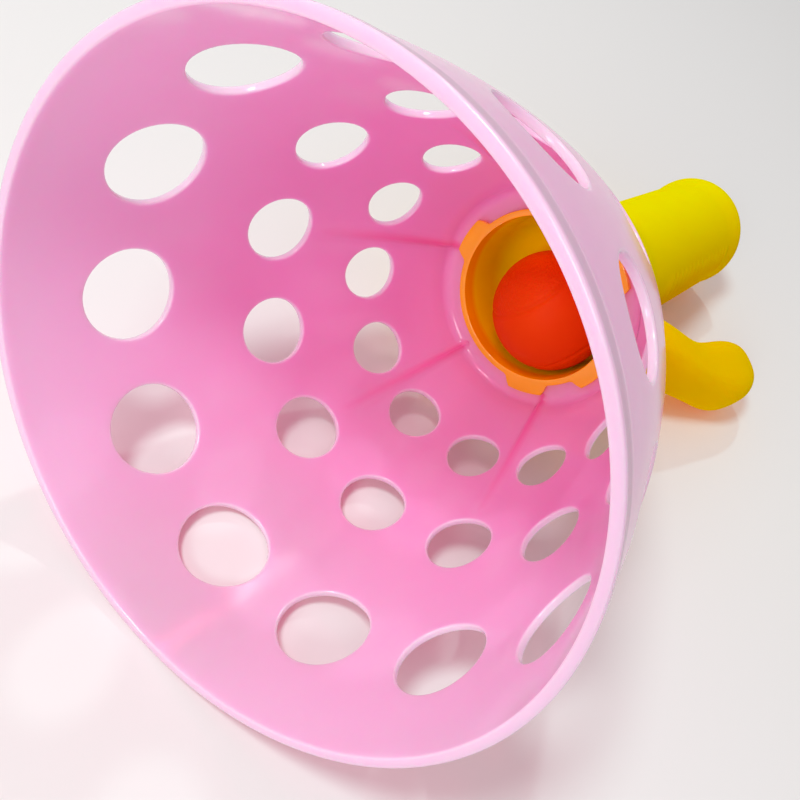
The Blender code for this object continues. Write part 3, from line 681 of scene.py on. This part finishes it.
slot_low = (pivot_reach + slot_setback, -slot_half, -slot_bottom)
slot_high = (slot_reach, slot_half, -slot_top)
for node, side in (("handle_left", 1), ("handle_right", -1)):
    half = handle_half(node + "_shell", side)
    cutters = [block("slot", slot_low, slot_high)]
    if side < 0:
        # The screws' heads lie in recesses of the right half.
        for reach, share in screw_places:
            middle = (reach, -screw_head_depth - recess_length / 2, -share * handle_length)
            cutters.append(
                round_bar("recess", screw_head_radius + part_gap, recess_length, middle, recess_sides)
            )
    bm = cut_or_join(half, cutters, "DIFFERENCE")
    shell = smooth(object_from(bm, node + "_shell"), angle=45)
    # The swelling at the handle's end rests on the floor and doesn't sink into it.
    for vert in shell.data.vertices:
        vert.co.z = max(vert.co.z, 0.0)
    shell.data.materials.append(yellow_styrene)
    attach(shell, "toy")
    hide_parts(node)

# The trigger is a lever moulded in one piece of the same yellow plastic. It has a thick rounded pad for
# two fingers, a hub that turns on a steel pin and a fork that lifts the plunger by its collar.
trigger_sections = (
    # outer edge (reach, depth), inner edge (reach, depth), half width
    ((0.0290, 0.0335), (0.0190, 0.0560), 0.0078),
    ((0.0368, 0.0450), (0.0275, 0.0620), 0.0112),
    ((0.0460, 0.0545), (0.0333, 0.0677), 0.0114),
    ((0.0550, 0.0646), (0.0381, 0.0737), 0.0112),
    ((0.0618, 0.0761), (0.0413, 0.0815), 0.0112),
    ((0.0699, 0.0865), (0.0439, 0.0926), 0.0121),
    ((0.0741, 0.0983), (0.0463, 0.1047), 0.0126),
    ((0.0731, 0.1080), (0.0494, 0.1126), 0.0117),
    ((0.0712, 0.1130), (0.0517, 0.1161), 0.0107),
    ((0.0688, 0.1163), (0.0545, 0.1186), 0.0088),
    ((0.0660, 0.1182), (0.0578, 0.1195), 0.0056),
)
section_sides = 20
section_squareness = 2 / 3
fork_width = 0.0132
fork_gap = 0.0072
fork_throat = 0.0030
hub_radius = 0.0064
nose_reach = 0.0055
nose_radius = 0.0020
nose_sides = 24
arm_inset = 0.0002
arm_under = 0.94
arm_over = 0.80
pin_radius = 0.0020
rod_collar_thickness = 0.0018
rod_collar_cone = 0.0010
running_gap = 0.0006
cutter_reach = 0.0100
bore_length = 0.0300
plunger_travel = (pivot_reach + nose_reach) * math.radians(joints["trigger_squeeze"]["range_deg"][1])
rod_collar_top = guide_end - plunger_travel - rod_collar_cone - running_gap
nose_height = rod_collar_top - rod_collar_thickness - part_gap - nose_radius
# The lever runs through rounded sections, from the hub to the tip of the pad.
bm = bmesh.new()
rings = []
for outer, inner, half_width in trigger_sections:
    ring = bmesh.ops.create_circle(bm, segments=section_sides, radius=1.0)["verts"]
    outer_edge = Vector((outer[0], 0.0, -outer[1]))
    inner_edge = Vector((inner[0], 0.0, -inner[1]))
    for vert in ring:
        across = math.copysign(abs(vert.co.x) ** section_squareness, vert.co.x)
        aside = math.copysign(abs(vert.co.y) ** section_squareness, vert.co.y)
        vert.co = (outer_edge + inner_edge) / 2 + (outer_edge - inner_edge) / 2 * across
        vert.co.y = half_width * aside
    rings.append(list({edge for vert in ring for edge in vert.link_edges}))
for ring, following in zip(rings, rings[1:]):
    bmesh.ops.bridge_loops(bm, edges=ring + following)
bmesh.ops.holes_fill(bm, edges=rings[0], sides=0)
bmesh.ops.holes_fill(bm, edges=rings[-1], sides=0)
bmesh.ops.recalc_face_normals(bm, faces=bm.faces)
lever = object_from(bm, "trigger_lever", placed=False)
rounding = lever.modifiers.new("rounding", "SUBSURF")
rounding.levels = 2
rounding.render_levels = 2
lever = object_from(bmesh_of(lever), "trigger_lever", placed=False)
# The hub and the fork's arm with its rounded nose join it. Then the fork's throat, which leaves room for
# the plunger's rod, and the bore for the pin are cut.
hub = round_bar("hub", hub_radius, fork_width, (pivot_reach, 0, -pivot_depth))
nose = round_bar("nose", nose_radius, fork_width, (-nose_reach, 0, nose_height), nose_sides)
arm = block(
    "arm",
    (-nose_reach, -fork_width / 2 + arm_inset, nose_height - nose_radius * arm_under),
    (pivot_reach, fork_width / 2 - arm_inset, nose_height + nose_radius * arm_over),
)
lever = object_from(cut_or_join(lever, [hub, arm, nose], "UNION"), "trigger_lever", placed=False)
throat = block(
    "throat",
    (-nose_reach - cutter_reach, -fork_gap / 2, nose_height - cutter_reach),
    (rod_radius + fork_throat, fork_gap / 2, nose_height + cutter_reach),
)
bore = round_bar("bore", pin_radius + part_gap, bore_length, (pivot_reach, 0, -pivot_depth))
bm = cut_or_join(lever, [throat, bore], "DIFFERENCE")
lever = smooth(object_from(bm, "trigger_lever"), angle=40)
lever.data.materials.append(yellow_styrene)
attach(lever, "trigger")
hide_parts("trigger")

# The works inside the handle are the plunger's white rod with its orange button, the steel coil, washer
# and screw that bring it back, the steel pin of the trigger and the six screws of the handle.
# They keep the shapes of the solids, with their facets smoothed.
# Zinc plate is bright, with specks of duller metal about 1 mm across.
steel, tree, shader, place = new_material("zinc_plated_steel")
specks = add_node(tree, "ShaderNodeTexNoise", Vector=place, Scale=900.0, Detail=3.0)
rough = add_node(tree, "ShaderNodeMapRange", Value=specks.outputs["Fac"], To_Min=0.22, To_Max=0.38)
tree.links.new(rough.outputs["Result"], shader.inputs["Roughness"])
shader.inputs["Base Color"].default_value = linear("#c4c6c8")
shader.inputs["Metallic"].default_value = 1.0
# Acetal is a slippery milk-white plastic with a waxy gloss. Its colour drifts over about 17 mm.
white_rod, tree, shader, place = new_material("moulded_acetal_white")
cloud = add_node(tree, "ShaderNodeTexNoise", Vector=place, Scale=60.0, Detail=2.0)
tone = add_node(
    tree, "ShaderNodeMix", {"data_type": "RGBA"}, n0=cloud.outputs["Fac"], n6=linear("#e6e6e2"),
    n7=linear("#efefec")
)
tree.links.new(tone.outputs[2], shader.inputs["Base Color"])
shader.inputs["Roughness"].default_value = 0.32
shader.inputs["IOR"].default_value = 1.48
works = [
    ("plunger_rod", "plunger", "white_plastic", white_rod),
    ("plunger_head", "plunger", "orange_plastic", orange_styrene),
    ("plunger_screw", "plunger", "steel", steel),
    ("spring_washer", "plunger", "steel", steel),
    ("plunger_spring", "toy", "steel", steel),
    ("trigger_pin", "toy", "steel", steel),
]
works += [("handle_screw_%d" % (i + 1), "toy", "steel", steel) for i in range(len(screw_places))]
for node, body, slot, material in works:
    bm = bmesh.new()
    bm.from_mesh(frame["nodes"][node].data)
    bmesh.ops.remove_doubles(bm, verts=bm.verts, dist=merge_distance)
    piece = smooth(object_from(bm, node + "_smooth", placed=False), angle=40)
    piece.data.materials.clear()
    piece.data.materials.append(material)
    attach(piece, body)
    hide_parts(node)
    if node == "plunger_spring":
        # The washer presses the coil against the handle's lower web, which is at the coil's upper end.
        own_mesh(piece)

# The floor is a wide sheet of matt white paper.
paper_half = 4.0
bm = bmesh.new()
bmesh.ops.create_grid(bm, x_segments=2, y_segments=2, size=paper_half)
floor = object_from(bm, "paper_floor", placed=False)
material, tree, shader, place = new_material("matt_white_paper")
shader.inputs["Base Color"].default_value = linear("#efedeb")
shader.inputs["Roughness"].default_value = 0.85
floor.data.materials.append(material)

# The light is a broad soft lamp high on the mouth's side, a small one over the handle whose mirror image
# shows on the glossy plastic, a broad one that shines into the basket, and a pale room. The room looks
# brighter to the camera and in reflections than it lights, so that the backdrop stays pale.
world = bpy.data.worlds.new("pale_room")
bpy.context.scene.world = world
world.use_nodes = True
tree = world.node_tree
sky = tree.nodes["Background"]
sky.inputs["Color"].default_value = linear("#f4f5f7")
path = add_node(tree, "ShaderNodeLightPath")
seen = add_node(
    tree, "ShaderNodeMath", {"operation": "MAXIMUM"}, n0=path.outputs["Is Camera Ray"],
    n1=path.outputs["Is Glossy Ray"],
)
seen = add_node(
    tree, "ShaderNodeMath", {"operation": "MAXIMUM"}, n0=seen.outputs[0],
    n1=path.outputs["Is Transmission Ray"],
)
strength = add_node(tree, "ShaderNodeMapRange", Value=seen.outputs[0], To_Min=0.42, To_Max=0.80)
tree.links.new(strength.outputs["Result"], sky.inputs["Strength"])


def soft_lamp(name, place, aim, size, power):
    """A round area lamp that faces a place."""
    lamp = bpy.data.lights.new(name, "AREA")
    lamp.shape = "DISK"
    lamp.size = size
    lamp.energy = power
    made = bpy.data.objects.new(name, lamp)
    bpy.context.scene.collection.objects.link(made)
    made.location = place
    made.rotation_euler = (Vector(aim) - Vector(place)).to_track_quat("-Z", "Y").to_euler()


toy_middle = (0.0, 0.0, 0.05)
soft_lamp("window_lamp", (-0.614, 0.262, 1.174), toy_middle, size=0.30, power=8.3)
soft_lamp("ceiling_lamp", (0.54, 0.54, 1.10), toy_middle, size=0.06, power=2.4)
soft_lamp("room_lamp", (-1.00, -0.10, 0.50), toy_middle, size=0.30, power=2.7)

# The camera stands before the mouth and looks down into the basket. Its place, turn and lens were fitted
# to the holes and the rim in the photograph.
camera_place = (-0.250107, -0.065545, 0.244384)
camera_right = Vector((0.597284, -0.697638, 0.395668)).normalized()
camera_back = Vector((-0.655168, -0.139855, 0.742425)).normalized()
camera_up = camera_back.cross(camera_right).normalized()
camera = bpy.data.cameras.new("camera")
camera.lens = 42.45
camera.sensor_width = 36.0
camera.shift_x = -0.0803
camera.shift_y = 0.0873
camera_object = bpy.data.objects.new("camera", camera)
bpy.context.scene.collection.objects.link(camera_object)
view = Matrix((camera_right, camera_up, camera_back)).transposed().to_4x4()
view.translation = camera_place
camera_object.matrix_world = view
bpy.context.scene.camera = camera_object
bpy.context.scene.view_settings.view_transform = "Standard"
